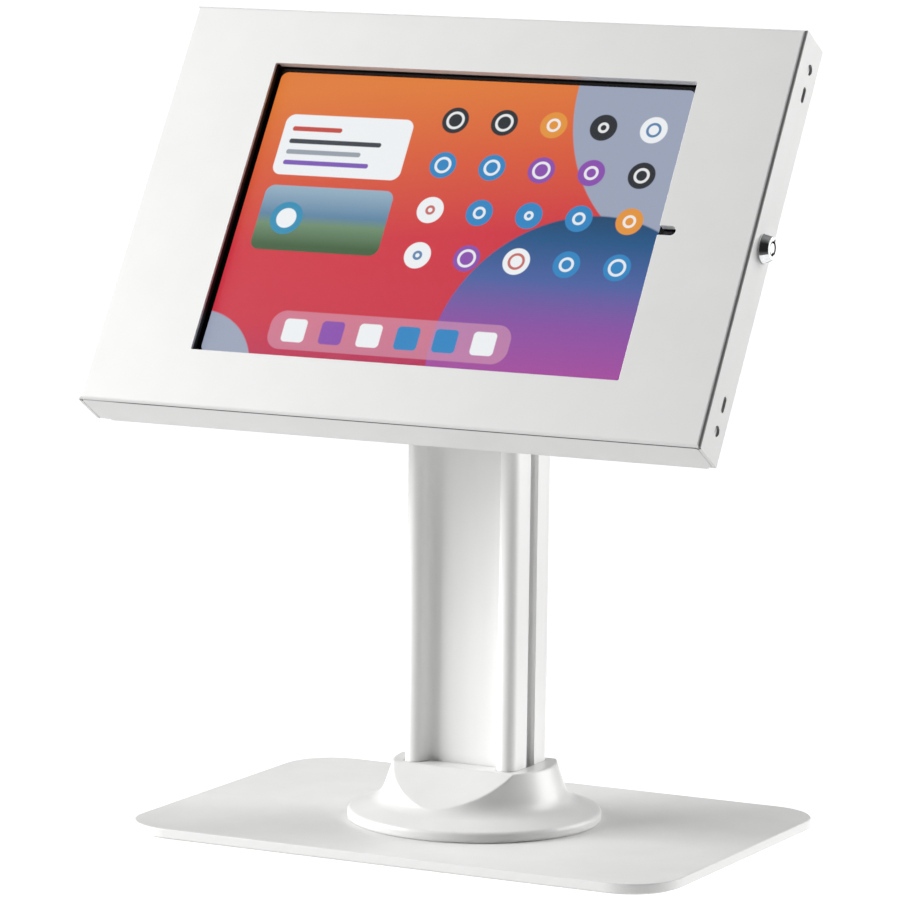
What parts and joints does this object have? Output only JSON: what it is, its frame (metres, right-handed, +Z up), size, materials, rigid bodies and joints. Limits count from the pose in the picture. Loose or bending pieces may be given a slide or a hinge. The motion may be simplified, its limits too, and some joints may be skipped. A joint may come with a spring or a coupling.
{
  "type": "tablet security kiosk stand",
  "caption": "Desk kiosk stand: a locking steel tablet enclosure tilts and turns on a slotted column over a flared collar and a flat base plate.",
  "frame": {"origin": "middle of the stand's underside, on the column's centre line, in the plane of the desk", "axes": "+Z up along the column, -Y to the front where the screen faces, +X to the user's right, where the lock is"},
  "size_m": [0.3433, 0.2117, 0.409],
  "materials": {
    "base_coat": "fine textured white powder coat on steel plate",
    "column_coat": "satin white powder coat on extruded aluminium",
    "cover_coat": "satin white powder coat on folded steel",
    "collar_abs": "moulded white ABS, satin",
    "liner_abs": "milled white ABS",
    "mat_foam": "pale EVA foam sheet, matt",
    "grommet_rubber": "matt black moulded rubber",
    "bracket_coat": "white powder coat on steel plate",
    "zinc_steel": "bright zinc plated steel",
    "nylon": "natural nylon",
    "lock_chrome": "polished chrome on die cast zinc",
    "seat_abs": "black moulded ABS",
    "pad_foam": "closed cell foam",
    "tablet_aluminium": "bead blasted anodised aluminium",
    "tablet_glass": "polished cover glass with a black border",
    "display": "lit display panel",
    "battery_film": "black film wrap",
    "circuit_board": "green solder mask",
    "lens": "dark coated lens"
  },
  "bodies": {
    "stand": {"base_mat": "mat_foam", "base_plate": "base_coat", "base_screws": "zinc_steel", "base_collar": "collar_abs", "column": "column_coat", "head_yoke": "bracket_coat", "yoke_screws": "zinc_steel", "pivot_bolt": "zinc_steel", "pivot_nut": "zinc_steel", "pivot_washers": "zinc_steel", "friction_washers": "nylon", "pivot_spacer": "zinc_steel"},
    "tilt_head": {"tilt_bracket": "bracket_coat", "friction_disc": "nylon", "stop_pin": "zinc_steel"},
    "enclosure": {"back_plate": "cover_coat", "hub_plate": "bracket_coat", "hub_screws": "zinc_steel", "rotation_bolt": "zinc_steel", "rotation_washer": "zinc_steel", "rotation_nut": "zinc_steel", "cable_grommet": "grommet_rubber", "hinge_fixed_leaf": "zinc_steel", "hinge_pin": "zinc_steel", "catch_bracket": "zinc_steel", "corner_seats": "seat_abs", "seat_screws": "zinc_steel", "seat_pads": "pad_foam", "tablet_shell": "tablet_aluminium", "tablet_glass": "tablet_glass", "tablet_display": "display", "tablet_battery": "battery_film", "tablet_board": "circuit_board", "camera_lens": "lens"},
    "cover": {"front_cover": "cover_coat", "window_liner": "liner_abs", "hinge_cover_leaf": "zinc_steel", "lock_housing": "lock_chrome", "lock_nut": "zinc_steel"},
    "lock": {"lock_plug": "lock_chrome", "lock_cam": "zinc_steel", "cam_screw": "zinc_steel"},
    "power_key": {"power_button": "tablet_aluminium"},
    "volume_up_key": {"volume_up_button": "tablet_aluminium"},
    "volume_down_key": {"volume_down_button": "tablet_aluminium"}
  },
  "joints": [
    {"name": "tilt", "type": "hinge", "parent": "stand", "child": "tilt_head", "pos_m": [0, 0, 0.284], "axis": [-1, 0, 0], "range_deg": [-31.7, 58.3]},
    {"name": "turn", "type": "hinge", "parent": "tilt_head", "child": "enclosure", "pos_m": [0, -0.03012, 0.3026], "axis": [0, -0.8508, 0.5255], "range_deg": [0, 90]},
    {"name": "cover_swing", "type": "hinge", "parent": "enclosure", "child": "cover", "pos_m": [-0.1652, -0.03071, 0.30297], "axis": [0, -0.5255, -0.8508], "range_deg": [0, 100]},
    {"name": "lock_turn", "type": "hinge", "parent": "cover", "child": "lock", "pos_m": [0.16935, -0.03795, 0.30744], "axis": [1, 0, 0], "range_deg": [0, 90]},
    {"name": "power_press", "type": "slide", "parent": "enclosure", "child": "power_key", "axis": [-1, 0, 0], "range_m": [0, 0.00035], "stiffness_N_per_m": 200, "springref_m": -0.001},
    {"name": "volume_up_press", "type": "slide", "parent": "enclosure", "child": "volume_up_key", "axis": [0, 0.5255, 0.8508], "range_m": [0, 0.00035], "stiffness_N_per_m": 200, "springref_m": -0.001},
    {"name": "volume_down_press", "type": "slide", "parent": "enclosure", "child": "volume_down_key", "axis": [0, 0.5255, 0.8508], "range_m": [0, 0.00035], "stiffness_N_per_m": 200, "springref_m": -0.001}
  ]
}
